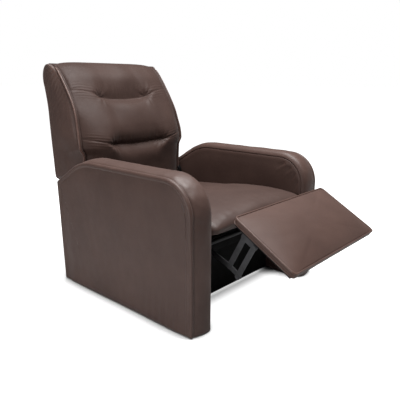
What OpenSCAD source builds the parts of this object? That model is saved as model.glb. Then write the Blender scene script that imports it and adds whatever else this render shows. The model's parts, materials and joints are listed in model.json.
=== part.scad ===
// Recliner armchair with an upholstered frame, a folding footrest on steel links and a hinged back.
// The chair faces -Y. Right and left are the sitter's, so the right arm is on the -X side.
// Outlines are drawn in the Y-Z plane, with Y measured from the front face of the arms
// and Z from the floor, and placed() moves them to the middle of the chair's depth.

/* [Arms] */
// Overall width over both arms
chair_w = 850; // [800:5:900]
// Width of one arm
arm_w = 111; // [100:1:115]
// Height of the flat top of the arms
arm_h = 576; // [560:2:590]
// Radius of the rounded front of the arms
arm_front_r = 135; // [100:5:150]
// Where the arm top starts to fall towards the rear
arm_crown_end = 560; // [540:5:570]
// Depth of the arms at their rear top corner
arm_depth = 826; // [818:1:832]
// Angle of the falling rear part of the arm top
arm_slope = 31; // [29:1:33]

/* [Seat] */
// Height of the seat crown
seat_h = 418; // [414:1:426]
// Height of the lower edge of the seat front
seat_front_z = 360; // [358:1:361]
// Forward travel of the seat carriage in full recline
seat_travel = 54; // [40:1:60]

/* [Footrest] */
// Length of the footrest pad, from its hinge side to its free edge
pad_len = 284; // [250:2:290]
// Width of the footrest pad
pad_w = 614; // [590:2:616]
// Thickness of the soft pad at its edges
pad_t = 24; // [22:1:30]
// Thickness of the footrest board
pad_board_t = 10; // [8:1:10]
// Tilt of the footrest below the horizontal at rest
pad_tilt = 30; // [30]

/* [Links] */
// Width of the flat steel links
link_w = 21; // [18:1:22]
// Thickness of the flat steel links
link_t = 3; // [3]
// Gap between neighbouring link layers
link_gap = 1; // [1]
// Radius of the rivets
rivet_r = 4; // [3:0.5:5]

/* [Back] */
// Half width of the front pillows
pillow_half_w = 296.8; // [280:0.2:296.8]
// Half width of the back where it stands clear of the arms
back_wide = 326; // [318:1:330]

/* [Hidden] */
$fn = 48;

right = -1;
left = 1;
sides = [right, left];
leather = "#52433f";
cloth = "#1c1b1b";
wood = "#c9a878";
steel = "#44474c";
bright = "#9aa0a6";
plastic = "#222222";

// Arm
foot_h = 5;
skin = 12;
band_t = 18;
board_t = 15;
wall_t = 22;
inner_x = chair_w / 2 - arm_w;
outer_x = chair_w / 2;
rear_lean = 2;
arm_rear_r = 277;
slope_n = [sin(arm_slope), cos(arm_slope)];
rear_n = [cos(rear_lean), -sin(rear_lean)];
crown_c = [arm_crown_end, arm_h - arm_rear_r];
slope_top = crown_c + arm_rear_r * slope_n;
rear_corner = [arm_depth, slope_top.y - (arm_depth - slope_top.x) * tan(arm_slope)];

// Base
base_front_y = 188;
base_rear_y = 765;
panel_t = 4;
rail_t = 22;
slide_z = 215;
runner_z = slide_z + 8.5;
carriage_z = runner_z + 8;

// Seat carriage
carriage_x = 242.5;
seat_rail_t = 24;
seat_front_y = 141;
seat_rear_y = 690;
seat_rear_h = 30;
seat_fall = 0.13;
spring_count = 5;
spring_pitch = 95;
spring_r = 2.2;
spring_start = seat_front_y + 11.5;
spring_drop = 6;
loop_r = 17;
loops = 15;

// Links. Each layer of flat steel has its own distance from the middle of the chair
layer = link_t + link_gap;
plate_x = carriage_x + 0.5;
drive_x = plate_x + layer;
front_link_x = drive_x + layer;
bracket_x = front_link_x + layer;
rear_link_x = bracket_x + layer;
head_t = 2;
head_gap = 0.4;
run_gap = 0.05;
open_gap = 0.5;
tube_r = 10;
drive_pivot = [100, 288];
knee = [-28, 238];
knee_gap = 52;
pad_edge = [-89, 453];
pad_dir = [-cos(pad_tilt), -sin(pad_tilt)];
pad_up = [-sin(pad_tilt), cos(pad_tilt)];
pad_edge_r = 9;
pivot_along = 48;
pivot_depth = 70;
bracket_pivot = pad_edge + pivot_along * pad_dir - pivot_depth * pad_up;
rear_knee = knee + knee_gap * pad_dir;
rear_bracket_pivot = bracket_pivot + knee_gap * pad_dir;

// Back
hinge = [785, 425];
pin_r = 6;
bracket_in = 297.5;
back_narrow = 309;
cover_t = 14;
frame_front = [[868, 385], [956, 846]];
frame_rear = [[930, 392], [1012, 846]];
lumbar_front = [[757, 345], [748, 480], [737, 590], [757, 655]];
lumbar_lip = [[782, 345], [800, 372]];
middle_front = [[757, 655.5], [795, 735], [836, 805], [866, 862]];
head_front = [[866, 862.5], [908, 926], [950, 966], [992, 980], [1028, 958]];
welt = [[797, 372], [786, 480], [780, 585], [790, 670], [832, 790], [874, 848], [924, 915], [972, 958]];
rear_face = [[988, 432], [1003, 640], [1017, 775], [1041, 870], [1048, 915], [1032, 946]];
cover_gap = 0.5;

function arc(c, r, a0, a1, n = 10) =
    [for (i = [0 : n]) c + r * [cos(a0 + (a1 - a0) * i / n), sin(a0 + (a1 - a0) * i / n)]];

// Points on a smooth curve through the given points
function curve(p, n = 6) = concat(
    [for (i = [0 : len(p) - 2], j = [0 : n - 1])
        let (a = p[max(i - 1, 0)], b = p[i], c = p[i + 1], d = p[min(i + 2, len(p) - 1)], t = j / n)
        0.5 * (2 * b + (c - a) * t + (2 * a - 5 * b + 4 * c - d) * t ^ 2
            + (3 * b - a - 3 * c + d) * t ^ 3)],
    [p[len(p) - 1]]);

// Underside of the seat cushion, which falls towards the rear
function seat_under(y) = 345 - (y - seat_front_y) * seat_fall;

function spring_x(i) = (i - (spring_count - 1) / 2) * spring_pitch;

function reverse(p) = [for (i = [len(p) - 1 : -1 : 0]) p[i]];

function shifted(p, d) = [for (q = p) q + d];

// From over the top edge of the rear cover, down its inner face to the given height
function head_rear(low) = let (
        end = rear_face[len(rear_face) - 1] + [0, cover_gap],
        inner = shifted(curve(rear_face), [-cover_t - cover_gap, 0]))
    concat([end, end - [cover_t + cover_gap, 0]], reverse([for (q = inner) if (q.y > low && q.y < end.y - 1) q]));

// Outline of the arm, drawn in by an inset everywhere but at the bottom
function arm_outline(inset) = let (
        corner = rear_corner - inset * (slope_n + rear_n) / (1 + slope_n * rear_n),
        foot = corner.x - (corner.y - foot_h) * tan(rear_lean))
    concat(
        [[inset, foot_h]],
        arc([arm_front_r, arm_h - arm_front_r], arm_front_r - inset, 180, 90),
        arc(crown_c, arm_rear_r - inset, 90, 90 - arm_slope),
        [corner, [foot, foot_h]]);

// Middle of the chair's depth, from the free edge of the footrest to the rear of the back
depth_front = pad_edge.x + (pad_len - pad_edge_r) * pad_dir.x - pad_edge_r * pad_up.x - pad_edge_r;
depth_rear = max([for (q = curve(rear_face)) q.x]);
depth_mid = (depth_front + depth_rear) / 2;

module placed() {
    translate([0, -depth_mid, 0]) children();
}

// A Y-Z outline made solid between two X positions
module across(x0, x1) {
    translate([x0, 0, 0]) rotate([90, 0, 90]) linear_extrude(x1 - x0) children();
}

// The same on one side of the chair, between two distances from its middle
module slab(side, near, far) {
    across(side > 0 ? near : -far, side > 0 ? far : -near) children();
}

// A round bar along X on one side of the chair
module rod(side, p, r, near, far) {
    slab(side, near, far) translate(p) circle(r);
}

// A strip with round ends between two points
module strip(p, q, width) {
    angle = atan2(q.y - p.y, q.x - p.x);
    polygon(concat(
        arc(p, width / 2, angle + 90, angle + 270, 12),
        arc(q, width / 2, angle - 90, angle + 90, 12)));
}

// ---- Arms ----

module arm_frame(side) {
    color(wood) placed() difference() {
        slab(side, inner_x + skin + 1, outer_x - skin - 1) polygon(arm_outline(band_t + 1));
        slab(side, inner_x + skin + 1 + board_t, outer_x - skin - 1 - board_t)
            translate([0, -foot_h]) polygon(arm_outline(band_t + 1 + wall_t));
    }
}

module arm_outer_panel(side) {
    color(leather) placed() slab(side, outer_x - skin, outer_x) polygon(arm_outline(0));
}

module arm_inner_panel(side) {
    color(leather) placed() slab(side, inner_x, inner_x + skin) polygon(arm_outline(0));
}

module arm_band(side) {
    color(leather) placed() slab(side, inner_x + skin, outer_x - skin) difference() {
        polygon(arm_outline(0));
        polygon(arm_outline(band_t));
        square([2 * arm_depth, 2 * (foot_h + 0.5)], center = true);
    }
}

module glides() {
    glide_r = 14;
    color(plastic) placed()
        for (side = sides, y = [30, 300, 520, arm_depth - 48], x = [inner_x + 24, outer_x - 24])
            translate([side * x, y, 0]) cylinder(r = glide_r, h = foot_h);
}

// ---- Base between the arms ----

module base_front_rail() {
    color(wood) placed() across(-inner_x, inner_x)
        translate([base_front_y, 100]) square([rail_t, slide_z - 100]);
}

module base_rear_rail() {
    color(wood) placed() across(-inner_x, inner_x)
        translate([base_rear_y, 100]) square([rail_t, slide_z - 100]);
}

module base_side_rail(side) {
    color(wood) placed() slab(side, carriage_x - 22, carriage_x + 3)
        translate([base_front_y + rail_t, slide_z - 45])
            square([base_rear_y - base_front_y - rail_t, 45]);
}

module front_dust_panel() {
    color(cloth) placed() across(-inner_x, inner_x)
        translate([base_front_y - panel_t, 8]) square([panel_t, slide_z - 2]);
}

module rear_lower_panel() {
    color(leather) placed() across(-inner_x, inner_x)
        translate([base_rear_y + rail_t, 30]) square([16, 316]);
}

module slide_rail(side) {
    color(steel) placed() slab(side, carriage_x - 18, carriage_x - 2)
        translate([235, slide_z]) square([500, 8]);
}

module hinge_plate(side) {
    color(steel) placed() slab(side, inner_x - 3, inner_x) difference() {
        strip(hinge, [772, 366], 38);
        translate(hinge) circle(pin_r);
    }
}

module hinge_pins() {
    color(bright) placed() for (side = sides) rod(side, hinge, pin_r, bracket_in - 0.2, inner_x);
}

// ---- Seat carriage ----

module seat_side_rail(side) {
    color(wood) placed() slab(side, carriage_x - seat_rail_t, carriage_x) polygon([
        [seat_front_y, 270], [220, carriage_z], [seat_rear_y, carriage_z],
        [seat_rear_y, seat_under(seat_rear_y) - 10], [seat_front_y, seat_under(seat_front_y)]]);
}

module seat_front_rail() {
    color(wood) placed() across(-carriage_x, carriage_x)
        translate([seat_front_y - rail_t, 290]) square([rail_t, seat_front_z - 0.5 - 290]);
}

module seat_rear_rail() {
    color(wood) placed() across(-carriage_x, carriage_x)
        translate([seat_rear_y, carriage_z]) square([rail_t, seat_rear_h]);
}

module seat_front_board() {
    color(wood) placed() across(-300, 300)
        translate([15, seat_front_z - 0.5]) square([seat_front_y - 15, 12]);
}

// One wavy spring: half rings in a row, turned to alternate sides
module wavy_spring() {
    for (i = [0 : loops - 1]) {
        translate([0, loop_r * (2 * i + 1), 0])
            rotate([0, 0, i % 2 == 0 ? -90 : 90])
                rotate_extrude(angle = 180, $fn = 32) translate([loop_r, 0]) circle(spring_r, $fn = 16);
    }
}

module seat_springs() {
    color(bright) placed()
        for (i = [0 : spring_count - 1])
            translate([spring_x(i), spring_start, seat_under(spring_start) - spring_drop])
                rotate([-atan(seat_fall), 0, 0]) wavy_spring();
}

module spring_clips() {
    clip = [16, 9, 11];
    rear_clip = [16, 40, 8];
    rear_clip_y = spring_start + 2 * loop_r * loops;
    color(steel) placed()
        for (i = [0 : spring_count - 1]) {
            translate([spring_x(i) - clip.x / 2, seat_front_y, seat_under(seat_front_y) - 14]) cube(clip);
            translate([spring_x(i) - rear_clip.x / 2, rear_clip_y, carriage_z + seat_rear_h]) cube(rear_clip);
        }
}

module seat_cushion() {
    front_step = 13;
    color(leather) placed() across(-309, 309) polygon(concat(
        [[1, seat_front_z]],
        arc([30, seat_h - 35], 33, 180, 100, 8),
        curve([[110, seat_h + 1], [232, seat_h], [418, seat_h - 20], [600, seat_h - 42], [742, seat_h - 54]]),
        [[742, seat_under(742)], [seat_front_y, seat_under(seat_front_y)],
         [seat_front_y, seat_front_z + 12], [front_step, seat_front_z + 12], [front_step, seat_front_z]]));
}

module mechanism_plate(side) {
    color(steel) placed() slab(side, plate_x, plate_x + link_t) difference() {
        union() {
            strip(drive_pivot, [200, 300], 34);
            strip([200, 300], [330, 290], 34);
        }
        translate(drive_pivot) circle(tube_r + run_gap);
    }
}

module seat_runner(side) {
    color(bright) placed() slab(side, carriage_x - 19, carriage_x - 1)
        translate([250, runner_z]) square([seat_rear_y - 250, carriage_z - runner_z]);
}

// ---- Folding links ----

module drive_link(side) {
    color(steel) placed() slab(side, drive_x, drive_x + link_t) difference() {
        union() {
            strip(drive_pivot, knee, link_w);
            strip(knee, rear_knee, link_w);
        }
        translate(knee) circle(rivet_r);
        translate(rear_knee) circle(rivet_r);
    }
}

module torque_tube() {
    color(steel) placed() difference() {
        across(-drive_x, drive_x) translate(drive_pivot) circle(tube_r);
        across(-drive_x - 1, drive_x + 1) translate(drive_pivot) circle(tube_r - 2);
    }
}

module drive_rivets() {
    front_end = front_link_x + link_t;
    rear_end = rear_link_x + link_t;
    color(bright) placed() for (side = sides) {
        rod(side, knee, rivet_r, drive_x, front_end + head_gap);
        rod(side, knee, 2 * rivet_r, front_end + head_gap, front_end + head_gap + head_t);
        rod(side, rear_knee, rivet_r, drive_x, rear_end + head_gap);
        rod(side, rear_knee, 1.7 * rivet_r, drive_x + link_t, rear_link_x - head_gap);
        rod(side, rear_knee, 2 * rivet_r, rear_end + head_gap, rear_end + head_gap + head_t);
    }
}

module front_link(side) {
    color(steel) placed() slab(side, front_link_x, front_link_x + link_t) difference() {
        strip(knee, bracket_pivot, link_w);
        translate(knee) circle(rivet_r + run_gap);
        translate(bracket_pivot) circle(rivet_r + run_gap);
    }
}

module rear_link(side) {
    color(steel) placed() slab(side, rear_link_x, rear_link_x + link_t) difference() {
        strip(rear_knee, rear_bracket_pivot, link_w);
        translate(rear_knee) circle(rivet_r + run_gap);
        translate(rear_bracket_pivot) circle(rivet_r + open_gap);
    }
}

// ---- Footrest ----

// Draws in the footrest's own frame: X along the pad from its hinge side, Y up through its top
module on_pad() {
    translate(pad_edge) rotate(180 + pad_tilt) mirror([0, 1]) children();
}

module footrest_pad() {
    r = pad_edge_r;
    color(leather) placed() across(-pad_w / 2, pad_w / 2) on_pad() translate([0, -pad_t])
        polygon(concat(
            [[0, 0]],
            arc([r, pad_t - r], r, 180, 90, 6),
            arc([pad_len - r, pad_t - r], r, 90, 0, 6),
            [[pad_len, 0]]));
}

module footrest_board() {
    margin = 12;
    color(cloth) placed() across(margin - pad_w / 2, pad_w / 2 - margin) on_pad()
        translate([margin, -pad_t - pad_board_t]) square([pad_len - 2 * margin, pad_board_t]);
}

module footrest_bracket(side) {
    ear = 24;
    board_z = -pad_t - pad_board_t;
    flange_w = 30;
    color(steel) placed() {
        slab(side, bracket_x, bracket_x + link_t) on_pad() difference() {
            union() {
                strip([pivot_along, -pivot_depth], [pivot_along + knee_gap, -pivot_depth], ear);
                translate([pivot_along - ear / 2, -pivot_depth])
                    square([knee_gap + ear, pivot_depth + board_z]);
            }
            translate([pivot_along, -pivot_depth]) circle(rivet_r);
            translate([pivot_along + knee_gap, -pivot_depth]) circle(rivet_r);
        }
        slab(side, bracket_x + link_t - flange_w, bracket_x + link_t) on_pad()
            translate([pivot_along - ear / 2, board_z - link_t]) square([190, link_t]);
    }
}

module footrest_rivets() {
    inner_end = front_link_x - head_gap;
    outer_end = rear_link_x + link_t + head_gap;
    color(bright) placed() for (side = sides) {
        rod(side, bracket_pivot, rivet_r, inner_end, bracket_x + link_t);
        rod(side, bracket_pivot, 1.8 * rivet_r, inner_end - head_t, inner_end);
        rod(side, rear_bracket_pivot, rivet_r, bracket_x, outer_end);
        rod(side, rear_bracket_pivot, 2 * rivet_r, outer_end, outer_end + head_t);
    }
}

// ---- Back ----

module back_post(side) {
    color(wood) placed() slab(side, pillow_half_w - 25, pillow_half_w)
        polygon([frame_front[0] + [1, 0], frame_rear[0], frame_rear[1], frame_front[1] + [1, 0]]);
}

// A wooden rail between the posts, with its lower front corner on the frame's front line
module back_cross_rail(z, height) {
    lean = (frame_front[1].x - frame_front[0].x) / (frame_front[1].y - frame_front[0].y);
    y = frame_front[0].x + (z - frame_front[0].y) * lean;
    color(wood) placed() across(25.2 - pillow_half_w, pillow_half_w - 25.2)
        polygon([[y + 3, z], [y + 45, z], [y + 45 + height * lean, z + height], [y + 3 + height * lean, z + height]]);
}

module back_top_rail() {
    back_cross_rail(775, 70);
}

module back_bottom_rail() {
    back_cross_rail(388, 60);
}

module back_webbing() {
    lean = (frame_front[1].x - frame_front[0].x) / (frame_front[1].y - frame_front[0].y);
    color(cloth) placed() for (z = [480, 570, 660])
        across(25.2 - pillow_half_w, pillow_half_w - 25.2)
            translate([frame_front[0].x + (z - frame_front[0].y) * lean + 4, z]) rotate(-11) square([3, 60]);
}

module lumbar_pillow() {
    color(leather) placed() across(-pillow_half_w, pillow_half_w)
        polygon(concat(curve(lumbar_front), [[916, 636], frame_front[0]], reverse(lumbar_lip)));
}

module middle_pillow() {
    color(leather) placed() across(-pillow_half_w, pillow_half_w)
        polygon(concat(curve(middle_front), [frame_front[1] - [0, 0.5], [916.2, 636.5]]));
}

module head_pillow() {
    color(leather) placed() across(-pillow_half_w, pillow_half_w)
        polygon(concat(curve(head_front), head_rear(frame_front[1].y + 0.5), [frame_front[1]]));
}

module back_gusset(side) {
    pocket = bracket_in + link_t + 0.7;
    outline = concat(curve(welt), [[1008, 964]], head_rear(0), [[940, 385]]);
    color(leather) placed() difference() {
        union() {
            slab(side, pillow_half_w + 0.4, back_narrow) polygon(outline);
            slab(side, back_narrow, back_wide) intersection() {
                polygon(outline);
                polygon([[760, 560], [770, 530], [860, 440], [1060, 430], [1060, 1000], [770, 1000]]);
            }
        }
        slab(side, pillow_half_w, pocket) strip(hinge, [955, 435], 60);
    }
}

module back_rear_cover() {
    outer = curve(rear_face);
    inner = reverse(shifted(outer, [-cover_t, 0]));
    color(leather) placed() {
        difference() {
            across(-back_wide, back_wide) polygon(concat(outer, inner));
            for (side = sides)
                slab(side, back_narrow, back_wide + 1) translate([900, 400]) square([200, 70]);
        }
    }
}

module back_bracket(side) {
    color(steel) placed() slab(side, bracket_in, bracket_in + link_t) difference() {
        strip(hinge, [930, 435], 36);
        translate(hinge) circle(pin_r + run_gap);
    }
}

arm_frame(right);  // arm_frame_right
arm_frame(left);  // arm_frame_left
arm_outer_panel(right);  // arm_outer_panel_right
arm_outer_panel(left);  // arm_outer_panel_left
arm_inner_panel(right);  // arm_inner_panel_right
arm_inner_panel(left);  // arm_inner_panel_left
arm_band(right);  // arm_band_right
arm_band(left);  // arm_band_left
glides();
base_front_rail();
base_rear_rail();
base_side_rail(right);  // base_side_rail_right
base_side_rail(left);  // base_side_rail_left
front_dust_panel();
rear_lower_panel();
slide_rail(right);  // slide_rail_right
slide_rail(left);  // slide_rail_left
hinge_plate(right);  // hinge_plate_right
hinge_plate(left);  // hinge_plate_left
hinge_pins();
seat_side_rail(right);  // seat_side_rail_right
seat_side_rail(left);  // seat_side_rail_left
seat_front_rail();
seat_rear_rail();
seat_front_board();
seat_springs();
spring_clips();
seat_cushion();
mechanism_plate(right);  // mechanism_plate_right
mechanism_plate(left);  // mechanism_plate_left
seat_runner(right);  // seat_runner_right
seat_runner(left);  // seat_runner_left
drive_link(right);  // drive_link_right
drive_link(left);  // drive_link_left
torque_tube();
drive_rivets();
front_link(right);  // front_link_right
front_link(left);  // front_link_left
rear_link(right);  // rear_link_right
rear_link(left);  // rear_link_left
footrest_pad();
footrest_board();
footrest_bracket(right);  // footrest_bracket_right
footrest_bracket(left);  // footrest_bracket_left
footrest_rivets();
back_post(right);  // back_post_right
back_post(left);  // back_post_left
back_top_rail();
back_bottom_rail();
back_webbing();
head_pillow();
middle_pillow();
lumbar_pillow();
back_gusset(right);  // back_gusset_right
back_gusset(left);  // back_gusset_left
back_rear_cover();
back_bracket(right);  // back_bracket_right
back_bracket(left);  // back_bracket_left
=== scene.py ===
"""Looks of the recliner armchair: leather covers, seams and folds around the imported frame."""

import json
from math import cos, pi, radians, sin

import bpy
import numpy as np
from mathutils import Matrix, Vector


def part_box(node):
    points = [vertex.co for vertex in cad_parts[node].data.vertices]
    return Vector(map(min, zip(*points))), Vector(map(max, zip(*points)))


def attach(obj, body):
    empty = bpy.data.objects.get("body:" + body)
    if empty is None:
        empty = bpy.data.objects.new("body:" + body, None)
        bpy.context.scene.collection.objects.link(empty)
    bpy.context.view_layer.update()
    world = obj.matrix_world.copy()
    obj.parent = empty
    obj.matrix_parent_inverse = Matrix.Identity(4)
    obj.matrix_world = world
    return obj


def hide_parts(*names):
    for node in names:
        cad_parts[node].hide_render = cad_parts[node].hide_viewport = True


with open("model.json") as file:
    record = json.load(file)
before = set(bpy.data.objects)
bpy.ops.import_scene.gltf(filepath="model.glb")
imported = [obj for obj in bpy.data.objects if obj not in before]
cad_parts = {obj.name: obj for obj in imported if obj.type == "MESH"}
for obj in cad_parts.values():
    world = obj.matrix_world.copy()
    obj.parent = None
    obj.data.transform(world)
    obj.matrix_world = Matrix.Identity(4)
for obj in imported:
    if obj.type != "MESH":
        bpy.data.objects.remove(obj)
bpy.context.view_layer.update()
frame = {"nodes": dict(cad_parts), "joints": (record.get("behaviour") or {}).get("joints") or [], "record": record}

SIDES = {"right": -1, "left": 1}
JOINTS = {j["name"]: j for j in frame["joints"]}

# Places taken from the frame. Y is counted from the front face of the arms.
ARM_LOW, ARM_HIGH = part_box("arm_outer_panel_left")
ARM_FRONT = ARM_LOW.y
ARM_OUT = ARM_HIGH.x
ARM_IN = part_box("arm_inner_panel_left")[0].x
ARM_W = ARM_OUT - ARM_IN
ARM_FOOT = ARM_LOW.z
ARM_TOP = ARM_HIGH.z
ARM_DEPTH = ARM_HIGH.y - ARM_FRONT
SEAT_LOW, SEAT_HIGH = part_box("seat_cushion")

# The arm's outline, as in the frame
ARM_FRONT_R = 0.135
ARM_CROWN_END = 0.560
ARM_REAR_R = 0.277
ARM_SLOPE = radians(31)
ARM_LEAN = radians(2)
ARM_CORNER_R = 0.010

# Footrest
PAD_TILT = radians(30)
PAD_ALONG = 0.048
PAD_DEPTH = 0.070
PAD_LEN = 0.284
PAD_T = 0.024
PAD_HALF_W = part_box("footrest_pad")[1].x
PAD_CROWN = 0.022

# Lining under the seat's front rail: its lower edge, its overlap on the rail, and its thickness
LINING_FOOT = 0.2235
LINING_OVERLAP = 0.030
LINING_SIDE_GAP = 0.002
LINING_T = 0.0015

# Cloth simulation: gas pressure, steps, how far a point may move on each cover (metres), the
# passes that even the swelling out, and the share of its creases that stays
PRESSURE = 4.0
CLOTH_STEPS = 20
SEAT_SWELL = 0.009
PAD_SWELL = 0.005
SETTLE_PASSES = 50
CREASE_KEPT = 0.12


def at(x, y, z):
    """A point with Y counted from the front of the arms."""
    return np.array([x, ARM_FRONT + y, z])


# ---------------------------------------------------------------- shapes

def smooth(t):
    t = np.clip(t, 0, 1)
    return t * t * (3 - 2 * t)


def curve(points, count):
    """A smooth line of `count` points through the given ones, evenly spread in the parameter."""
    p = np.array(points, float)
    q = np.vstack([2 * p[0] - p[1], p, 2 * p[-1] - p[-2]])
    u = np.linspace(0, len(p) - 1, count)
    i = np.minimum(u.astype(int), len(p) - 2)
    t = (u - i)[:, None]
    a, b, c, d = q[i], q[i + 1], q[i + 2], q[i + 3]
    return 0.5 * (2 * b + (c - a) * t + (2 * a - 5 * b + 4 * c - d) * t**2 + (3 * b - a - 3 * c + d) * t**3)


def even(points, count):
    """The same line with its points spread evenly along its length."""
    p = np.array(points, float)
    s = np.concatenate([[0], np.cumsum(np.linalg.norm(np.diff(p, axis=0), axis=1))])
    t = np.linspace(0, s[-1], count)
    return np.stack([np.interp(t, s, p[:, k]) for k in range(p.shape[1])], 1)


def ripple(p, size, seed, waves=7):
    """Soft unevenness between -1 and 1 with features of about `size` metres."""
    rng = np.random.default_rng(seed)
    total = np.zeros(p.shape[:-1])
    for _ in range(waves):
        direction = rng.normal(size=3)
        direction *= rng.uniform(0.6, 1.5) / (size * np.linalg.norm(direction))
        total += np.sin(p @ direction * 2 * pi + rng.uniform(0, 2 * pi))
    return total / waves * 1.6


def points_of(piece):
    """The piece's vertices as an array."""
    co = np.empty(len(piece.data.vertices) * 3)
    piece.data.vertices.foreach_get("co", co)
    return co.reshape(-1, 3)


def mesh_object(name, verts, faces, body, material, slot, doubles=True):
    """A smooth mesh piece that rides on a body."""
    import bmesh
    mesh = bpy.data.meshes.new(name)
    corners = [tuple(v) for v in np.asarray(verts, float)]
    mesh.from_pydata(corners, [], [tuple(int(i) for i in f) for f in faces])
    bm = bmesh.new()
    bm.from_mesh(mesh)
    if doubles:
        bmesh.ops.remove_doubles(bm, verts=bm.verts, dist=2e-5)
        bmesh.ops.dissolve_degenerate(bm, edges=bm.edges, dist=1e-6)
    bmesh.ops.recalc_face_normals(bm, faces=bm.faces)
    bm.to_mesh(mesh)
    bm.free()
    mesh.shade_smooth()
    mesh.materials.append(material)
    piece = bpy.data.objects.new(name, mesh)
    bpy.context.scene.collection.objects.link(piece)
    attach(piece, body)
    return piece


def settle(mesh, moved, pins):
    """Evens a swelling out over the mesh, as foam does, and leaves only a trace of its sharp creases."""
    ends = np.empty(len(mesh.edges) * 2, dtype=np.int64)
    mesh.edges.foreach_get("vertices", ends)
    a, b = ends.reshape(-1, 2).T
    near = np.maximum(np.bincount(ends, minlength=len(mesh.vertices)), 1)[:, None]
    even_out = moved
    for _ in range(SETTLE_PASSES):
        total = np.zeros_like(even_out)
        np.add.at(total, a, even_out[b])
        np.add.at(total, b, even_out[a])
        even_out = 0.5 * even_out + 0.5 * total / near
    return (even_out + CREASE_KEPT * (moved - even_out)) * (1 - pins)[:, None]


def inflate(piece, pins, cap):
    """Blows a cover up as cloth, held where `pins` is 1, and keeps the shape it takes."""
    mesh = piece.data
    group = piece.vertex_groups.new(name="sewn")
    for value in np.unique(pins):
        if value > 0:
            group.add([int(i) for i in np.nonzero(pins == value)[0]], float(value), "REPLACE")
    before = np.empty(len(mesh.vertices) * 3)
    mesh.vertices.foreach_get("co", before)
    modifier = piece.modifiers.new("cloth", "CLOTH")
    cloth_settings = modifier.settings
    cloth_settings.quality = 5
    cloth_settings.mass = 0.4
    cloth_settings.tension_stiffness = 30
    cloth_settings.compression_stiffness = 30
    cloth_settings.shear_stiffness = 12
    cloth_settings.bending_stiffness = 1.5
    cloth_settings.use_pressure = True
    cloth_settings.uniform_pressure_force = PRESSURE
    cloth_settings.vertex_group_mass = "sewn"
    cloth_settings.effector_weights.gravity = 0
    modifier.collision_settings.use_collision = False
    modifier.point_cache.frame_start = 1
    modifier.point_cache.frame_end = CLOTH_STEPS
    scene = bpy.context.scene
    for step in range(1, CLOTH_STEPS + 1):
        scene.frame_set(step)
        bpy.context.view_layer.update()
    graph = bpy.context.evaluated_depsgraph_get()
    blown = piece.evaluated_get(graph).to_mesh()
    after = np.empty_like(before)
    blown.vertices.foreach_get("co", after)
    piece.evaluated_get(graph).to_mesh_clear()
    piece.modifiers.remove(modifier)
    scene.frame_set(1)
    moved = (after - before).reshape(-1, 3)
    far = np.linalg.norm(moved, axis=1)[:, None]
    moved *= cap * np.tanh(far / cap) / np.maximum(far, 1e-9)
    moved = settle(mesh, moved, pins)
    mesh.vertices.foreach_set("co", (before.reshape(-1, 3) + moved).ravel())
    mesh.update()
    kept = float(np.linalg.norm(moved, axis=1).max())
    print("inflated", piece.name, "by up to", round(kept * 1000, 1), "mm")


def ring_faces(rows, cols, closed_cols=True, closed_rows=False, start=0):
    faces = []
    for i in range(rows if closed_rows else rows - 1):
        for j in range(cols if closed_cols else cols - 1):
            a, b = start + i * cols, start + (i + 1) % rows * cols
            k = (j + 1) % cols
            faces.append((a + j, a + k, b + k, b + j))
    return faces


def loft(rings, caps=True):
    """Faces and vertices of closed rings joined in a row, with the ends closed by a flat face."""
    rows, cols = rings.shape[:2]
    faces = ring_faces(rows, cols)
    if caps:
        faces.append(tuple(range(cols)))
        faces.append(tuple(range((rows - 1) * cols, rows * cols)))
    return rings.reshape(-1, 3), faces


def tube(path, radius, sides=10, closed=False):
    """A round piping along a path."""
    p = np.array(path, float)
    if closed:
        tangent = np.roll(p, -1, 0) - np.roll(p, 1, 0)
    else:
        tangent = np.gradient(p, axis=0)
    tangent /= np.linalg.norm(tangent, axis=1)[:, None]
    normal = np.cross(tangent[0], [0.31, 0.17, 0.93])
    rings = []
    for t, c, r in zip(tangent, p, np.broadcast_to(radius, len(p))):
        normal = normal - t * (normal @ t)
        normal /= np.linalg.norm(normal)
        other = np.cross(t, normal)
        a = np.linspace(0, 2 * pi, sides, endpoint=False)
        rings.append(c + r * (np.cos(a)[:, None] * normal + np.sin(a)[:, None] * other))
    rings = np.array(rings)
    if closed:
        return rings.reshape(-1, 3), ring_faces(len(p), sides, True, True)
    return loft(rings)


# ---------------------------------------------------------------- materials

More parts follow.
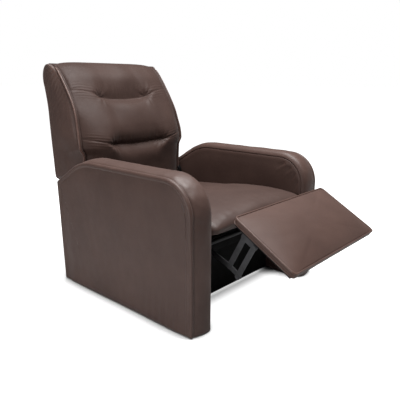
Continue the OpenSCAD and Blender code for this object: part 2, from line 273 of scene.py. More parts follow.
class Nodes:
    """Short names for building a material's node tree."""

    def __init__(self, name):
        self.material = bpy.data.materials.new(name)
        self.material.use_nodes = True
        self.tree = self.material.node_tree
        self.shader = self.tree.nodes["Principled BSDF"]
        self.place = self.add("ShaderNodeTexCoord").outputs["Object"]

    def add(self, kind, **values):
        node = self.tree.nodes.new(kind)
        for key, value in values.items():
            if hasattr(node, key):
                setattr(node, key, value)
            else:
                node.inputs[key.replace("_", " ")].default_value = value
        return node

    def link(self, a, b):
        self.tree.links.new(a, b)

    def noise(self, scale, detail=3.0, rough=0.55, stretch=None):
        node = self.add("ShaderNodeTexNoise", Scale=scale, Detail=detail, Roughness=rough)
        place = self.place
        if stretch:
            mapping = self.add("ShaderNodeMapping", Scale=stretch)
            self.link(place, mapping.inputs["Vector"])
            place = mapping.outputs["Vector"]
        self.link(place, node.inputs["Vector"])
        return node.outputs["Fac"]

    def ramp(self, value, low, high, at_low=0.3, at_high=0.7):
        node = self.add("ShaderNodeValToRGB")
        node.color_ramp.elements[0].position = at_low
        node.color_ramp.elements[1].position = at_high
        node.color_ramp.elements[0].color = (*low, 1)
        node.color_ramp.elements[1].color = (*high, 1)
        self.link(value, node.inputs["Fac"])
        return node.outputs["Color"]

    def span(self, value, low, high):
        node = self.add("ShaderNodeMapRange", To_Min=low, To_Max=high)
        self.link(value, node.inputs["Value"])
        return node.outputs["Result"]

    def bump(self, height, strength, distance, below=None):
        node = self.add("ShaderNodeBump", Strength=strength, Distance=distance)
        self.link(height, node.inputs["Height"])
        if below is not None:
            self.link(below, node.inputs["Normal"])
        return node.outputs["Normal"]


def leather(name, painted_light_scale=1.0, seed=0.0, rough=0.50, shine=0.32):
    """Dark chocolate upholstery leather: pebbled grain, fine creases, uneven gloss; its base colour is scaled by a
    brightness factor, which darker and lighter copies use as painted shade and painted light.
    """
    n = Nodes(name)
    shift = n.add("ShaderNodeMapping", Location=(seed, seed * 0.7, seed * 1.3))
    n.link(n.place, shift.inputs["Vector"])
    n.place = shift.outputs["Vector"]
    cells = n.add("ShaderNodeTexVoronoi", feature="DISTANCE_TO_EDGE", Scale=520.0)
    n.link(n.place, cells.inputs["Vector"])
    pebble = n.span(cells.outputs["Distance"], 0.0, 1.0)
    creases = n.noise(95.0, 5.0, 0.6)
    cloud = n.noise(6.0, 3.0)
    # Both ends of the colour ramp are scaled by the brightness factor: below 1 it is painted shade, above 1
    # painted light.
    deep = np.array([0.050, 0.0258, 0.0200]) * painted_light_scale
    light = np.array([0.064, 0.0345, 0.0270]) * painted_light_scale
    base = n.ramp(cloud, deep, light)
    grain = n.ramp(cells.outputs["Distance"], (0.72, 0.72, 0.72), (1, 1, 1), 0.0, 0.09)
    mix = n.add("ShaderNodeMix", data_type="RGBA", blend_type="MULTIPLY")
    mix.inputs["Factor"].default_value = 0.5
    n.link(base, mix.inputs["A"])
    n.link(grain, mix.inputs["B"])
    n.link(mix.outputs["Result"], n.shader.inputs["Base Color"])
    n.link(n.span(n.noise(38.0, 4.0), rough - 0.07, rough + 0.09), n.shader.inputs["Roughness"])
    fine = n.bump(pebble, 0.30, 0.0006)
    folds = n.bump(creases, 0.22, 0.0011, fine)
    n.link(n.bump(n.noise(17.0, 3.0), 0.25, 0.003, folds), n.shader.inputs["Normal"])
    n.shader.inputs["Specular IOR Level"].default_value = shine
    n.shader.inputs["Sheen Weight"].default_value = 0.04
    n.shader.inputs["Sheen Roughness"].default_value = 0.5
    return n.material


def cloth(name, color):
    """Black non-woven lining with a fine crossed weave."""
    n = Nodes(name)
    warp = n.add("ShaderNodeTexWave", bands_direction="X", Scale=700.0, Distortion=1.5)
    weft = n.add("ShaderNodeTexWave", bands_direction="Z", Scale=700.0, Distortion=1.5)
    n.link(n.place, warp.inputs["Vector"])
    n.link(n.place, weft.inputs["Vector"])
    add = n.add("ShaderNodeMath", operation="ADD")
    n.link(warp.outputs["Fac"], add.inputs[0])
    n.link(weft.outputs["Fac"], add.inputs[1])
    color = np.array(color)
    n.link(n.ramp(n.noise(30.0, 4.0), color * 0.7, color * 1.3), n.shader.inputs["Base Color"])
    n.link(n.span(n.noise(60.0), 0.85, 0.98), n.shader.inputs["Roughness"])
    n.link(n.bump(add.outputs[0], 0.35, 0.0004), n.shader.inputs["Normal"])
    n.shader.inputs["Specular IOR Level"].default_value = 0.2
    return n.material


def steel(name, color, rough, metallic=0.85):
    """Flat steel with rolling marks, a thin coat and rubbed patches."""
    n = Nodes(name)
    marks = n.noise(60.0, 5.0, 0.6, stretch=(1, 1, 7))
    color = np.array(color)
    n.link(n.ramp(n.noise(22.0, 4.0), color * 0.75, color * 1.3), n.shader.inputs["Base Color"])
    n.link(n.span(marks, rough - 0.08, rough + 0.12), n.shader.inputs["Roughness"])
    n.link(n.bump(marks, 0.2, 0.0004), n.shader.inputs["Normal"])
    n.shader.inputs["Metallic"].default_value = metallic
    return n.material


def wood(name):
    """Sawn softwood with long grain."""
    n = Nodes(name)
    grain = n.noise(14.0, 6.0, 0.65, stretch=(1, 1, 9))
    n.link(n.ramp(grain, (0.30, 0.18, 0.085), (0.52, 0.36, 0.20)), n.shader.inputs["Base Color"])
    n.link(n.span(n.noise(80.0), 0.6, 0.8), n.shader.inputs["Roughness"])
    n.link(n.bump(grain, 0.3, 0.0008), n.shader.inputs["Normal"])
    return n.material


def moulded(name, color):
    """Matte moulded plastic."""
    n = Nodes(name)
    color = np.array(color)
    n.link(n.ramp(n.noise(50.0), color * 0.8, color * 1.2), n.shader.inputs["Base Color"])
    n.link(n.span(n.noise(200.0), 0.5, 0.65), n.shader.inputs["Roughness"])
    n.link(n.bump(n.noise(900.0), 0.15, 0.0002), n.shader.inputs["Normal"])
    return n.material


ARM_LEATHER = leather("arm_leather_look", 1.0, 0.0)
BACK_LEATHER = leather("back_leather_look", 1.0, 3.1)
# The back's front pillows use a copy darkened to 0.62 as painted shade.
PILLOW_LEATHER_PAINTED_SHADE = leather("pillow_leather_painted_shade_look", 0.62, 5.7, 0.56, 0.16)
# The seat uses a copy darkened to 0.80 as painted shade.
SEAT_LEATHER_PAINTED_SHADE = leather("seat_leather_painted_shade_look", 0.80, 8.3, 0.52)
# The footrest uses a copy lightened to 1.06 as painted light.
PAD_LEATHER_PAINTED_LIGHT = leather("footrest_leather_painted_light_look", 1.06, 11.9, 0.56, 0.22)
# The piping uses a copy lightened to 1.3 as a painted highlight along the welts.
WELT_LEATHER_PAINTED_HIGHLIGHT = leather("welt_leather_painted_highlight_look", 1.3, 14.2, 0.42)
BLACK_CLOTH = cloth("black_cloth_look", (0.0042, 0.0040, 0.0040))
LINK_STEEL = steel("link_steel_look", (0.055, 0.055, 0.058), 0.45)
BRIGHT_STEEL = steel("bright_steel_look", (0.42, 0.42, 0.44), 0.34, 1.0)
BLACK_STEEL = steel("black_steel_look", (0.006, 0.006, 0.0065), 0.5, 0.3)
FRAME_WOOD = wood("frame_wood_look")
GLIDE_PLASTIC = moulded("glide_plastic_look", (0.018, 0.018, 0.018))

NODE_LOOKS = {
    "black_cloth": BLACK_CLOTH,
    "link_steel": LINK_STEEL,
    "bright_steel": BRIGHT_STEEL,
    "frame_wood": FRAME_WOOD,
    "glide_plastic": GLIDE_PLASTIC,
}


def dress_frame():
    """Gives every CAD node that stays in view its procedural material."""
    for part in frame["record"]["subparts"]:
        look = NODE_LOOKS.get(part["material_slot"])
        if look is None:
            continue
        data = frame["nodes"][part["node"]].data
        data.materials.clear()
        data.materials.append(look)
    for look, names in ((BLACK_CLOTH, ("seat_front_rail", "seat_rear_rail", "seat_front_board",
                                 "base_front_rail")),
                        (LINK_STEEL, ("drive_rivets", "footrest_rivets")),
                        (BLACK_STEEL, ("torque_tube", "mechanism_plate_right", "mechanism_plate_left"))):
        for name in names:
            data = frame["nodes"][name].data
            data.materials.clear()
            data.materials.append(look)


# ---------------------------------------------------------------- arms

def arm_path(count):
    """Points (y, z) up the front, over the top and down the rear, with outward normals."""
    slope_n = np.array([sin(ARM_SLOPE), cos(ARM_SLOPE)])
    crown = np.array([ARM_CROWN_END, ARM_TOP - ARM_REAR_R])
    top = crown + ARM_REAR_R * slope_n
    corner_z = top[1] - (ARM_DEPTH - top[0]) * np.tan(ARM_SLOPE)
    points = [[0, z] for z in np.linspace(ARM_FOOT, ARM_TOP - ARM_FRONT_R, 12)]
    for a in np.linspace(pi, pi / 2, 24)[1:]:
        points.append([ARM_FRONT_R * (1 + cos(a)), ARM_TOP - ARM_FRONT_R + ARM_FRONT_R * sin(a)])
    for a in np.linspace(pi / 2, pi / 2 - ARM_SLOPE, 16):
        points.append([crown[0] + ARM_REAR_R * cos(a), crown[1] + ARM_REAR_R * sin(a)])
    turn = pi / 2 - ARM_SLOPE + ARM_LEAN
    reach = ARM_CORNER_R * np.tan(turn / 2)
    down = np.array([-sin(ARM_LEAN), -cos(ARM_LEAN)])
    along = np.array([cos(ARM_SLOPE), -sin(ARM_SLOPE)])
    corner = np.array([ARM_DEPTH, corner_z])
    centre = corner - along * reach - slope_n * ARM_CORNER_R
    for a in np.linspace(pi / 2 - ARM_SLOPE, -ARM_LEAN, 10):
        points.append([centre[0] + ARM_CORNER_R * cos(a), centre[1] + ARM_CORNER_R * sin(a)])
    last = corner + down * (corner_z - ARM_FOOT) / cos(ARM_LEAN)
    points.extend((corner + (last - corner) * t) for t in np.linspace(0.12, 1, 10))
    path = even(points, count)
    tangent = np.gradient(path, axis=0)
    tangent /= np.linalg.norm(tangent, axis=1)[:, None]
    return path, np.stack([-tangent[:, 1], tangent[:, 0]], 1)


# Across the band, from the outer panel's edge to the inner panel's: distance in from the outer
# face, and height above the outline
BAND_SECTION = [
    (0.0010, -0.0260), (0.0012, -0.0210), (0.0016, -0.0175), (0.0002, -0.0145), (-0.0022, -0.0105),
    (-0.0026, -0.0060), (-0.0008, -0.0010), (0.0035, 0.0022), (0.0085, 0.0026), (0.0125, 0.0006),
    (0.0150, -0.0012), (0.0180, 0.0006), (0.0250, 0.0038), (0.0400, 0.0066), (0.0600, 0.0078),
    (0.0780, 0.0066), (0.0930, 0.0028), (0.1025, -0.0040), (0.1080, -0.0125), (0.1100, -0.0190),
    (0.1082, -0.0222), (0.1102, -0.0250), (0.1118, -0.0320),
]
PANEL_ROWS = 30


def arm_cover(side):
    """The whole leather cover of one arm: outer panel, edge roll, band, inner seam and inner panel."""
    sign = SIDES[side]
    path, normal = arm_path(230)
    count = len(path)
    section = curve(BAND_SECTION, 64)
    tilt = -0.0045 + 0.0095 * section[:, 0] / ARM_W
    share = np.linspace(0, 1, count)
    base = np.stack([0.023 + share * (path[-1, 0] - 0.046), np.full(count, ARM_FOOT)], 1)
    columns = []

    def panel(edge_depth, x_of):
        rows = []
        edge = path + normal * edge_depth
        for t in np.linspace(1, 0, PANEL_ROWS, endpoint=False) ** 1.35:
            yz = edge * (1 - t) + base * t
            rows.append(np.stack([x_of(yz), yz[:, 0], yz[:, 1]], 1))
        return rows

    def edge_distance(yz):
        gap = np.linalg.norm(yz[:, None, :] - path[None, :, :], axis=2)
        return gap.min(1)

    def outer_x(yz):
        inside = smooth((edge_distance(yz) - 0.02) / 0.07)
        p = np.stack([np.zeros(len(yz)), yz[:, 0], yz[:, 1]], 1)
        soft = 0.0020 * ripple(p, 0.26, 3 + sign) + 0.0003 * ripple(p, 0.07, 5 + sign)
        drape = 0.0007 * np.sin(yz[:, 0] * 170 + 6 * yz[:, 1]) * smooth((0.17 - yz[:, 1]) / 0.12)
        drape *= smooth((0.30 - yz[:, 0]) / 0.15)
        return ARM_OUT - 0.0012 + (0.0035 + soft + drape) * inside

    def inner_x(yz):
        gap = edge_distance(yz)
        inside = smooth((gap - 0.03) / 0.05)
        p = np.stack([np.zeros(len(yz)), yz[:, 0], yz[:, 1]], 1)
        return ARM_IN - 0.0008 - (0.0016 + 0.0009 * ripple(p, 0.15, 11)) * inside + pleats(yz)

    outer = panel(section[0, 1], outer_x)
    inner = panel(section[-1, 1], inner_x)[::-1]
    arc = smooth((path[:, 1] - 0.30) / 0.1) * smooth((0.30 - path[:, 0]) / 0.16)
    for (a, d), lift in zip(section, tilt):
        middle = smooth((a - 0.012) / 0.02) * smooth((0.104 - a) / 0.02)
        pucker = 0.0013 * np.sin(np.arange(count) * 0.9 + 40 * a) * arc * smooth((0.06 - a) / 0.045)
        spot = np.stack([np.full(count, a), path[:, 0], path[:, 1]], 1)
        wave = 0.0013 * ripple(spot, 0.14, 21 + sign) + 0.0007 * ripple(spot * [1.6, 1, 1], 0.035, 23 + sign)
        yz = path + normal * (d + lift + (pucker + wave) * middle)[:, None]
        near_edge = smooth((0.006 - a) / 0.004)
        calm = 1 - 0.75 * near_edge * smooth((0.42 - path[:, 1]) / 0.16)
        columns.append(np.stack([ARM_OUT - 0.0008 - (a - 0.0008) * calm, yz[:, 0], yz[:, 1]], 1))
    under = []
    for share_x in (0.2, 0.4, 0.6, 0.8):
        under.append(np.stack([np.full(count, ARM_IN + ARM_W * share_x), base[:, 0], base[:, 1]], 1))
    grid = np.stack(outer + columns + inner + under, 1)
    grid[..., 2] = np.maximum(grid[..., 2], ARM_FOOT)
    grid[..., 0] *= sign
    grid[..., 1] += ARM_FRONT
    verts, faces = loft(grid)
    piece = mesh_object(f"arm_cover_{side}", verts, faces, "base", ARM_LEATHER, "arm_leather")
    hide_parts(f"arm_outer_panel_{side}", f"arm_inner_panel_{side}", f"arm_band_{side}")
    return piece


def pleats(yz):
    """Tucks that run from the inner seam where it turns down the front of the arm."""
    total = np.zeros(len(yz))
    for (y, z), angle, length, depth in (
        ((0.104, 0.546), 168, 0.030, 0.0040),
        ((0.092, 0.542), -28, 0.090, 0.0065),
        ((0.066, 0.522), -44, 0.070, 0.0048),
        ((0.046, 0.492), -58, 0.055, 0.0036),
        ((0.034, 0.456), -74, 0.050, 0.0024),
    ):
        d = np.array([cos(radians(angle)), sin(radians(angle))])
        rel = yz - np.array([y, z])
        along, across = rel @ d, rel @ np.array([-d[1], d[0]])
        fade = smooth(1 - along / length) * smooth((along + 0.012) / 0.012)
        total += depth * fade * np.exp(-(across / 0.0035) ** 2)
        total -= 0.5 * depth * fade * np.exp(-((across + 0.009) / 0.006) ** 2)
    return total


# ---------------------------------------------------------------- back

LEVELS = 240
BACK_FRONT = [
    (0.757, 0.345), (0.745, 0.480), (0.728, 0.585), (0.732, 0.640), (0.753, 0.690), (0.794, 0.750),
    (0.830, 0.810), (0.866, 0.872), (0.908, 0.930), (0.945, 0.966), (0.985, 0.983),
]
BACK_WELT = [
    (0.784, 0.362), (0.784, 0.480), (0.779, 0.585), (0.784, 0.640), (0.797, 0.690), (0.815, 0.750),
    (0.843, 0.806), (0.876, 0.856), (0.914, 0.908), (0.948, 0.946), (0.984, 0.970),
]
BACK_REAR = [
    (0.950, 0.390), (0.986, 0.440), (0.995, 0.530), (1.002, 0.620), (1.010, 0.700), (1.019, 0.775),
    (1.036, 0.850), (1.048, 0.900), (1.043, 0.938), (1.022, 0.964), (0.988, 0.974),
]
CHANNELS = (
    # end height, sag, depth at the ends, depth in the middle, softness above, softness below
    (0.868, 0.042, 0.0022, 0.034, 0.046, 0.024),
    (0.642, 0.042, 0.0026, 0.044, 0.062, 0.036),
)
PINCH_AT = 0.46
FRONT_COLUMNS = 170
SIDE_COLUMNS = 34
REAR_COLUMNS = 60
FLANGE = 0.046


def back_half_width(level):
    """Half width at the front seam and at the rear, for each level."""
    z = level[:, 1]
    taper = smooth((z - 0.60) / 0.28)
    front = 0.3070 + smooth((z - 0.505) / 0.045) * (0.0185 - 0.0145 * taper)
    rear = 0.3085 + smooth((z - 0.425) / 0.02) * (0.0200 - 0.0070 * taper)
    return front, rear


def back_profiles():
    return (curve(p, LEVELS) for p in (BACK_FRONT, BACK_WELT, BACK_REAR))


def channel_depth(u, x, z):
    """How far the two sewn channels draw the front in."""
    middle = smooth((0.66 - np.abs(u)) / 0.34)
    sag = 1 - smooth((np.abs(u) - 0.34) / 0.66)
    total = np.zeros_like(z)
    for end, drop, shallow, deep, above, below in CHANNELS:
        wave = 0.0035 * np.cos(pi * u / PINCH_AT) * middle
        dz = z - (end - drop * sag - wave)
        amount = shallow + (deep - shallow) * middle
        soft_above = 0.005 + (above - 0.005) * middle
        soft_below = 0.004 + (below - 0.004) * middle
        soft = np.where(dz > 0, soft_above, soft_below)
        power = np.where(dz > 0, 1.12, 1.5)
        total += amount * np.exp(-(np.abs(dz) / soft) ** power)
        for sign in (-1, 1):
            rx, rz = (u - sign * PINCH_AT) * 0.31, dz
            r = np.sqrt(rx**2 + rz**2) + 1e-6
            turn = np.arctan2(rz, rx * sign)
            total += 0.0024 * np.exp(-(r / 0.036) ** 1.4) * np.cos(9 * turn + sign) * smooth(r / 0.012)
            total += 0.006 * np.exp(-(r / 0.016) ** 2)
        gather = np.sin(x * 330 + 5 * np.sin(x * 41)) * np.exp(-((dz - 0.026) / 0.024) ** 2)
        total += 0.0012 * gather * middle
        creases = np.sin(rz * 500 + 60 * np.abs(x)) * np.exp(-(dz / 0.03) ** 2) * (1 - middle)
        total += 0.0006 * creases * smooth((0.95 - np.abs(u)) / 0.1)
    return total


def back_cover():
    """Front pillows with two drawn-in channels, side gussets and rear panel, as one closed cover."""
    front, welt, rear = back_profiles()
    wide_front, wide_rear = back_half_width(rear)
    tangent = np.gradient(front, axis=0)
    tangent /= np.linalg.norm(tangent, axis=1)[:, None]
    inward = np.stack([tangent[:, 1], -tangent[:, 0]], 1)

    even_u = np.linspace(-1, 1, FRONT_COLUMNS)
    u = 0.55 * np.sin(even_u * pi / 2) + 0.45 * even_u
    inner_u = np.clip(np.abs(u) / (1 - FLANGE), 0, 1)
    plump = (1 - inner_u**6.5)[None, :, None]
    face = welt[:, None, :] + (front - welt)[:, None, :] * plump
    x = wide_front[:, None] * u[None, :]
    uu = np.broadcast_to(u, x.shape)
    z0 = front[:, 1:] + 0 * x
    depth = channel_depth(uu, x, z0) * smooth((1 - FLANGE - np.abs(uu)) / 0.02)
    puff = 0.008 * np.exp(-((z0 - 0.745) / 0.055) ** 2) + 0.006 * np.exp(-((z0 - 0.915) / 0.035) ** 2)
    depth -= puff * (1 - uu**4)
    points = np.stack([x, face[..., 0], face[..., 1]], -1)
    inside = smooth((1 - FLANGE - np.abs(uu)) / 0.04)
    depth += (0.0030 * ripple(points, 0.17, 31) + 0.0008 * ripple(points, 0.06, 33)) * inside
    edge = (np.abs(uu) - (1 - FLANGE)) / FLANGE
    depth += 0.0016 * np.exp(-(edge / 0.25) ** 2)
    depth -= 0.0050 * np.clip(1 - ((edge - 0.60) / 0.50) ** 2, 0, 1)
    last = smooth((LEVELS - 1 - np.arange(LEVELS)) / 8.0)[:, None]
    face = face + inward[:, None, :] * (depth * last)[..., None]
    front_part = np.stack([x, face[..., 0], face[..., 1]], -1)

    t = np.linspace(0, 1, SIDE_COLUMNS + 2)[1:-1]
    yz = welt[:, None, :] * (1 - t)[None, :, None] + rear[:, None, :] * t[None, :, None]
    above = smooth((rear[:, 1] - 0.55) / 0.1)[:, None]
    bow = np.sin(pi * t)[None, :] ** 0.7 * (0.002 + 0.006 * above)
    bow -= 0.006 * np.exp(-((t - 0.06) / 0.05) ** 2)[None, :] * above
    gx = wide_front[:, None] + (wide_rear - wide_front)[:, None] * smooth(t * 1.8)[None, :] + bow * last
    flat = np.stack([np.zeros_like(gx), yz[..., 0], yz[..., 1]], -1)
    high = smooth((yz[..., 1] - 0.64) / 0.2) * np.sin(pi * t)[None, :]
    folds = np.sin((yz[..., 0] * 0.80 + yz[..., 1] * 0.60) * 300 + 2.5 * ripple(flat, 0.09, 41))
    gx = gx + (0.0010 * folds * high + 0.0016 * ripple(flat, 0.12, 43) * np.sin(pi * t)[None, :]) * last
    left_side = np.stack([gx, yz[..., 0], yz[..., 1]], -1)
    right_side = left_side[:, ::-1].copy()
    right_side[..., 0] *= -1

    v = np.linspace(1, -1, REAR_COLUMNS)
    rx = wide_rear[:, None] * v[None, :]
    span = smooth((LEVELS - 1 - np.arange(LEVELS)) / 40.0)
    back_bulge = (0.006 * (1 - v**2))[None, :] * span[:, None]
    ry = rear[:, :1] + back_bulge
    rz = np.repeat(rear[:, 1:2], REAR_COLUMNS, 1)
    rear_part = np.stack([rx, ry, rz], -1)
    rear_part[..., 1] += 0.0014 * ripple(rear_part, 0.2, 47) * span[:, None]

    grid = np.concatenate([front_part, left_side, rear_part, right_side], 1)
    hollow = grid[0] * np.array([0.93, 0.72, 1.0]) + np.array([0, 0.86 * 0.28, 0])
    deep, shallow = (hollow + np.array([0, 0, rise]) for rise in (0.035, 0.010))
    grid = np.concatenate([deep[None], shallow[None], grid])
    grid[..., 1] += ARM_FRONT
    verts, faces = loft(grid)
    piece = mesh_object("back_cover", verts, faces, "back", PILLOW_LEATHER_PAINTED_SHADE, "pillow_leather")
    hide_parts("head_pillow", "middle_pillow", "lumbar_pillow", "back_rear_cover",
                "back_gusset_right", "back_gusset_left")
    # The front faces keep the pillow leather darkened as painted shade; faces behind the front seam and on the
    # gussets get the back leather.
    piece.data.materials.append(BACK_LEATHER)
    for face in piece.data.polygons:
        seam_y = ARM_FRONT + np.interp(face.center.z, welt[:, 1], welt[:, 0])
        behind = face.center.y - seam_y
        if behind > 0.10 or (behind > 0.002 and abs(face.center.x) > 0.29):
            face.material_index = 1

    for side, sign in SIDES.items():
        for name, line, half, r in (("front", welt, wide_front, 0.0046), ("rear", rear, wide_rear, 0.0034)):
            path = np.stack([sign * (half - 0.0010), line[:, 0], line[:, 1]], 1)[4:-10:2]
            path[:, 1] += ARM_FRONT
            ends = np.minimum(np.arange(len(path)), np.arange(len(path))[::-1])
            radius = r * (0.35 + 0.65 * smooth(ends / 5.0))
            welt_piece = mesh_object(f"back_welt_{name}_{side}", *tube(path, radius), "back", WELT_LEATHER_PAINTED_HIGHLIGHT,
                                     "back_leather")
    return piece


# ---------------------------------------------------------------- seat

def seat_cover():
    """Seat cushion with a rolled front edge, crowned between the arms."""
    low, high = SEAT_LOW, SEAT_HIGH
    top = high.z
    rear_y = high.y - ARM_FRONT
    profile = [
        (0.012, 0.3602), (0.0005, 0.3640), (-0.0035, 0.3740), (-0.0030, 0.3860), (0.006, 0.4000),
        (0.026, 0.4110), (0.060, 0.4170), (0.120, top + 0.001), (0.230, top), (0.330, top - 0.008),
        (0.430, top - 0.021), (0.560, top - 0.037), (0.680, top - 0.049), (rear_y - 0.010, top - 0.056),
        (rear_y, top - 0.070), (rear_y, 0.290), (rear_y - 0.006, 0.270), (rear_y - 0.050, 0.2745),
        (0.450, 0.3085), (0.160, 0.3460), (0.140, 0.3720), (0.080, 0.3725), (0.015, 0.3720), (0.0145, 0.3640),
    ]
    loop = curve(profile + profile[:1], 241)[:-1]
    centre = np.array([0.36, 0.345])
    half = SEAT_HIGH.x
    edge_r = 0.030
    rings = []
    for v in np.linspace(-1, 1, 111):
        x = half * (0.5 * v + 0.5 * np.sin(v * pi / 2))
        over = max(0.0, abs(x) - (half - edge_r)) / edge_r
        inset = edge_r * (1 - np.sqrt(max(0.0, 1 - over**2)))
        away = loop - centre
        length = np.linalg.norm(away, axis=1)[:, None]
        ring = loop - away / length * np.minimum(inset, 0.4 * length)
        crown = 0.010 * (1 - (abs(x) / half) ** 2.2) - 0.008 * (abs(x) / half) ** 6
        upper = smooth((loop[:, 1] - 0.372) / 0.03)
        ring[:, 1] += crown * upper
        rings.append(np.stack([np.full(len(ring), x), ring[:, 0], ring[:, 1]], 1))
    grid = np.array(rings)
    upper = smooth((grid[..., 2] - 0.372) / 0.03)
    grid[..., 2] += upper * (0.0022 * ripple(grid, 0.19, 51) + 0.0006 * ripple(grid, 0.06, 53))
    grid[..., 1] += ARM_FRONT
    verts, faces = loft(grid)
    piece = mesh_object("seat_cover", verts, faces, "seat", SEAT_LEATHER_PAINTED_SHADE, "seat_leather")
    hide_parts("seat_cushion")
    place = points_of(piece)
    held = smooth((np.abs(place[:, 0]) - (half - 0.030)) / 0.016)
    held = np.maximum(held, smooth((0.392 - place[:, 2]) / 0.012) * (place[:, 1] - ARM_FRONT < 0.6))
    held = np.maximum(held, smooth((place[:, 1] - ARM_FRONT - 0.66) / 0.03))
    held = np.maximum(held, smooth((0.345 - place[:, 2]) / 0.01))
    inflate(piece, np.round(held, 1), SEAT_SWELL)
    return piece


def seat_lining():
    """Black lining that hangs from the seat's front rail and hides the springs."""
    low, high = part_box("seat_front_rail")
    y = high.y + LINING_T
    top = low.z + LINING_OVERLAP
    rows = []
    for z in np.linspace(LINING_FOOT, top, 14):
        row = []
        for x in np.linspace(low.x + LINING_SIDE_GAP, high.x - LINING_SIDE_GAP, 90):
            row.append((x, y + 0.0012 * sin(x * 60) * (1 - (z - LINING_FOOT) / 0.1), z))
        rows.append(row)
    front = np.array(rows)
    rear = front + np.array([0, LINING_T, 0])
    grid = np.concatenate([front, rear[:, ::-1]], 1)
    verts, faces = loft(grid)
    piece = mesh_object("seat_lining", verts, faces, "seat", BLACK_CLOTH, "black_cloth")
    return piece


# ---------------------------------------------------------------- footrest

def pad_frame():
    """Matrix from the pad's own frame (X across, Y along from the hinge side, Z up) to the row frame."""
    pivot = np.array(JOINTS["footrest_tilt"]["pos_m"])
    along = np.array([0, -cos(PAD_TILT), -sin(PAD_TILT)])
    up = np.array([0, -sin(PAD_TILT), cos(PAD_TILT)])
    origin = pivot - PAD_ALONG * along + PAD_DEPTH * up
    origin[0] = 0
    return origin, np.stack([np.array([-1.0, 0, 0]), along, up], 0)


def to_pad(points):
    origin, axes = pad_frame()
    return origin + points @ axes


def pad_outline(inset, corner, count):
    """Rounded rectangle around the pad, as x, y."""
    w, l = PAD_HALF_W - inset, PAD_LEN / 2 - inset
    points = []
    for cx, cy, a0 in ((w, l, 0), (-w, l, 90), (-w, -l, 180), (w, -l, 270)):
        for a in np.linspace(radians(a0), radians(a0 + 90), 9):
            points.append((cx - np.sign(cx) * corner + corner * cos(a),
                           cy - np.sign(cy) * corner + corner * sin(a)))
    points.append(points[0])
    return even(points, count + 1)[:-1] + np.array([0, PAD_LEN / 2])


def footrest_cover():
    """Crowned footrest pad with drawn corners."""
    count = 200
    rings = []
    side = [(0.020, -PAD_T), (0.008, -PAD_T + 0.0008), (0.0030, -PAD_T + 0.0040), (0.0006, -0.0150),
            (0.0006, -0.0080), (0.0030, -0.0035), (0.0060, -0.0012)]
    for inset, z in side:
        ring = pad_outline(inset, max(0.012, 0.018 - inset), count)
        rings.append(np.stack([ring[:, 0], ring[:, 1], np.full(count, z)], 1))
    outline = pad_outline(0.006, 0.012, count)
    centre = np.array([0, PAD_LEN / 2])
    for share in 1 - np.linspace(0.0, 1, 44)[1:] ** 1.3:
        p = centre + (outline - centre) * share
        u, v = np.abs((p - centre) / np.array([PAD_HALF_W, PAD_LEN / 2])).T
        dome = (1 - u**4.5) * (1 - v**2.6)
        corner = np.exp(-(((1 - u) / 0.10) ** 2 + ((1 - v) / 0.18) ** 2))
        q = np.stack([p[:, 0], p[:, 1], np.zeros(count)], 1)
        z = -0.0012 + PAD_CROWN * dome - 0.002 * corner + 0.0012 * ripple(q, 0.16, 61) * dome
        z = z + 0.0004 * ripple(q, 0.05, 63) * dome
        rings.append(np.stack([p[:, 0], p[:, 1], z], 1))
    grid = to_pad(np.array(rings))
    verts, faces = loft(grid)
    piece = mesh_object("footrest_cover", verts, faces, "footrest", PAD_LEATHER_PAINTED_LIGHT, "footrest_leather")
    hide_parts("footrest_pad")
    origin, axes = pad_frame()
    place = (points_of(piece) - origin) @ axes.T
    held = smooth((-0.0005 - place[:, 2]) / 0.003)
    inflate(piece, np.round(held, 1), PAD_SWELL)
    for name, inset, z, r in (("top", 0.0026, -0.0022, 0.0034), ("low", 0.0030, -PAD_T + 0.0035, 0.0024)):
        ring = pad_outline(inset, 0.014, 260)
        path = to_pad(np.stack([ring[:, 0], ring[:, 1], np.full(len(ring), z)], 1))
        welt = mesh_object(f"footrest_welt_{name}", *tube(path, r, 10, True), "footrest", WELT_LEATHER_PAINTED_HIGHLIGHT,
                           "footrest_leather")
    return piece


def rear_panel():
    """Padded lower rear panel between the arms."""
    low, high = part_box("rear_lower_panel")
    rings = []
    for v in np.linspace(-1, 1, 61):
        x = high.x * (0.4 * v + 0.6 * np.sin(v * pi / 2))
        edge = 1 - abs(v) ** 6
        loop = []
        for a in np.linspace(0, 2 * pi, 80, endpoint=False):
            cy, cz = abs(cos(a)) ** 0.35 * np.sign(cos(a)), abs(sin(a)) ** 0.22 * np.sign(sin(a))
            y = (low.y + high.y) / 2 + cy * (high.y - low.y) / 2
            if cy > 0:
                y += 0.004 * edge * (1 - cz**2)
            loop.append((x, y, (low.z + high.z) / 2 + cz * (high.z - low.z) / 2))
        rings.append(loop)
    grid = np.array(rings)
    grid[..., 1] += 0.0008 * ripple(grid, 0.15, 71)
    grid[..., 1] = np.maximum(grid[..., 1], low.y + 0.0003)
    verts, faces = loft(grid)
    piece = mesh_object("rear_panel_cover", verts, faces, "base", BACK_LEATHER, "back_leather")
    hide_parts("rear_lower_panel")
    return piece


# ---------------------------------------------------------------- stage

LIGHTS = (
    # name, place, size, power, aims at
    ("top", (0.1, -0.3, 3.0), 2.2, 200.0, (0, -0.1, 0.4)),
    ("side", (-3.6, -0.2, 0.74), 1.6, 58.0, (-0.3, 0.1, 0.35)),
    ("front", (-0.4, -3.4, 2.2), 2.2, 6.0, (0, 0.1, 0.5)),
)


FLOOR_HALF = 60.0
ROOM_LIGHT = 0.13
# The floor's painted shadow at the chair's foot, made by ambient occlusion dimming its emission: how far it
# reaches, and the openness at which it is full and gone
PAINTED_SHADOW_REACH = 0.09
PAINTED_SHADOW_FADE = (0.46, 0.92)


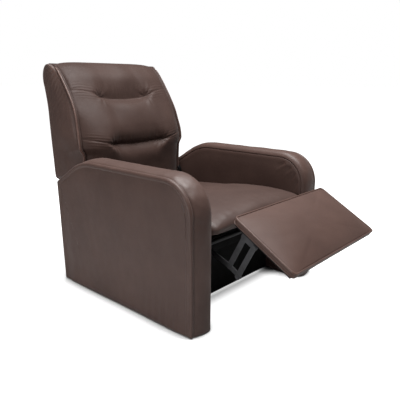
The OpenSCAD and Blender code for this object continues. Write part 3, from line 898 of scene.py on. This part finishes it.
def stage():
    """White floor and backdrop for the camera, soft lamps above, beside and in front; the floor emits light to the
    camera, dimmed by ambient occlusion into a painted shadow at the chair's foot.
    """
    mesh = bpy.data.meshes.new("floor")
    corners = [(x * FLOOR_HALF, y * FLOOR_HALF, 0) for x, y in ((-1, -1), (1, -1), (1, 1), (-1, 1))]
    mesh.from_pydata(corners, [], [(0, 1, 2, 3)])
    floor = bpy.data.objects.new("floor", mesh)
    bpy.context.scene.collection.objects.link(floor)
    n = Nodes("floor_painted_shadow_look")
    n.link(n.ramp(n.noise(3.0), (0.55, 0.55, 0.55), (0.58, 0.58, 0.58)), n.shader.inputs["Base Color"])
    n.shader.inputs["Roughness"].default_value = 0.9
    n.shader.inputs["Specular IOR Level"].default_value = 0.1
    painted_shadow_ao = n.add("ShaderNodeAmbientOcclusion", Distance=PAINTED_SHADOW_REACH)
    emission_with_painted_shadow = n.span(painted_shadow_ao.outputs["AO"], 0.0, 1.0)
    for name, limit in zip(("From Min", "From Max"), PAINTED_SHADOW_FADE):
        emission_with_painted_shadow.node.inputs[name].default_value = limit
    # The floor emits white to camera rays only, so the lamps' cast shadows are washed out; the ambient-occlusion
    # term paints the shadow near the chair.
    n.shader.inputs["Emission Color"].default_value = (1, 1, 1, 1)
    camera_emission = n.add("ShaderNodeMath", operation="MULTIPLY")
    n.link(emission_with_painted_shadow, camera_emission.inputs[0])
    n.link(n.add("ShaderNodeLightPath").outputs["Is Camera Ray"], camera_emission.inputs[1])
    n.link(camera_emission.outputs[0], n.shader.inputs["Emission Strength"])
    mesh.materials.append(n.material)
    world = bpy.data.worlds.new("studio")
    world.use_nodes = True
    tree = world.node_tree
    room = tree.nodes["Background"]
    room.inputs["Color"].default_value = (1, 1, 1, 1)
    room.inputs["Strength"].default_value = ROOM_LIGHT
    backdrop = tree.nodes.new("ShaderNodeBackground")
    backdrop.inputs["Color"].default_value = (1, 1, 1, 1)
    path = tree.nodes.new("ShaderNodeLightPath")
    mix = tree.nodes.new("ShaderNodeMixShader")
    tree.links.new(path.outputs["Is Camera Ray"], mix.inputs[0])
    tree.links.new(room.outputs[0], mix.inputs[1])
    tree.links.new(backdrop.outputs[0], mix.inputs[2])
    tree.links.new(mix.outputs[0], tree.nodes["World Output"].inputs[0])
    bpy.context.scene.world = world
    for name, place, size, power, aim in LIGHTS:
        data = bpy.data.lights.new(name, "AREA")
        data.shape = "DISK"
        data.size = size
        data.energy = power
        light = bpy.data.objects.new(name, data)
        light.location = place
        light.rotation_euler = (Vector(aim) - Vector(place)).to_track_quat("-Z", "Y").to_euler()
        bpy.context.scene.collection.objects.link(light)
    bpy.context.scene.view_settings.view_transform = "Standard"


def camera():
    """The view from the sitter's right front, a little above the arms."""
    data = bpy.data.cameras.new("camera")
    data.sensor_width = 36.0
    data.lens = 41.75
    eye = bpy.data.objects.new("camera", data)
    azimuth, elevation, roll = radians(48.07), radians(14.48), radians(0.20)
    ahead = Vector((sin(azimuth) * cos(elevation), cos(azimuth) * cos(elevation), -sin(elevation)))
    turn = ahead.to_track_quat("-Z", "Y").to_matrix() @ Matrix.Rotation(roll, 3, "Z")
    eye.matrix_world = Matrix.Translation(Vector(at(-1.5075, -1.0103, 0.901))) @ turn.to_4x4()
    bpy.context.scene.collection.objects.link(eye)
    bpy.context.scene.camera = eye


camera()
stage()
dress_frame()
for each_side in SIDES:
    arm_cover(each_side)
back_cover()
seat_cover()
seat_lining()
footrest_cover()
rear_panel()
